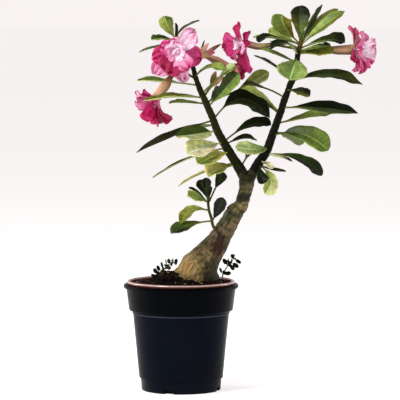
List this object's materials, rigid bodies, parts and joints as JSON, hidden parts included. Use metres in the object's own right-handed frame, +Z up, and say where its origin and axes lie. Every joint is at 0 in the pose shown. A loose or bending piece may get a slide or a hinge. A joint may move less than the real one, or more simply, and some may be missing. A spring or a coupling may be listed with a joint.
{
  "type": "potted desert rose",
  "caption": "Flowering desert rose with a swollen leaning trunk, two leafy branches and double pink blooms, in a tapered nursery pot.",
  "frame": {"origin": "centre of the pot's flat underside", "axes": "+Z up along the pot's axis, +X the way the trunk leans, -Y towards the viewer of the picture"},
  "size_m": [0.3039, 0.138, 0.4631],
  "materials": {
    "black_plastic": "moulded black polypropylene, softly glossy",
    "brown_plastic": "moulded reddish brown plastic, glossy lip",
    "potting_soil": "dark crumbly potting mix of peat and bark",
    "bark": "smooth tan and olive caudex bark with ring scars",
    "leaf": "leathery green leaves, satin",
    "rose_petal": "rose pink ruffled petals, pale in the throat",
    "flower_tube": "tan to orange brown flower tube",
    "flower_bud": "pink and tan flower buds",
    "weed": "very dark green weed leaflets"
  },
  "bodies": {
    "root": {"pot_outer": "black_plastic", "pot_inner": "brown_plastic", "soil": "potting_soil", "trunk": "bark", "side_shoot": "leaf", "leafy_branch_left": "leaf", "leafy_branch_right": "leaf", "bloom_a_petals": "rose_petal", "bloom_c_petals": "rose_petal", "bloom_d_petals": "rose_petal", "bloom_e_petals": "rose_petal", "bloom_g_petals": "rose_petal", "bloom_a_tube": "flower_tube", "bloom_c_tube": "flower_tube", "bloom_d_tube": "flower_tube", "bloom_e_tube": "flower_tube", "bloom_g_tube": "flower_tube", "bud_cluster": "flower_bud", "bud_pair": "flower_bud", "weed_left": "weed", "weed_right": "weed"}
  },
  "joints": []
}
